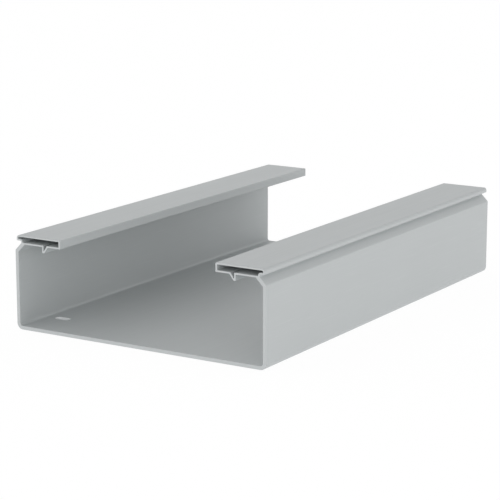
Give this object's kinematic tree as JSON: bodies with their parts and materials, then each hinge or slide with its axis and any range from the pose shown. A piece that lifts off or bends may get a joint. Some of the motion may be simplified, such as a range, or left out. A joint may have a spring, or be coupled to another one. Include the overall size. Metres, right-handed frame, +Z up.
{
  "type": "solid cable tray",
  "caption": "Extruded plastic cable channel with solid floor and walls, hollow in-turned flanges, lid grooves and slotted fixing holes.",
  "frame": {"origin": "middle of the underside of the floor, half way along the length", "axes": "+Y along the tray, +X across it, +Z up out of the opening between the flanges"},
  "size_m": [0.21, 0.343, 0.0694],
  "materials": {
    "plastic": "light grey rigid plastic, satin, with faint drawing lines along the length"
  },
  "bodies": {
    "root": {"tray": "plastic"}
  },
  "joints": []
}
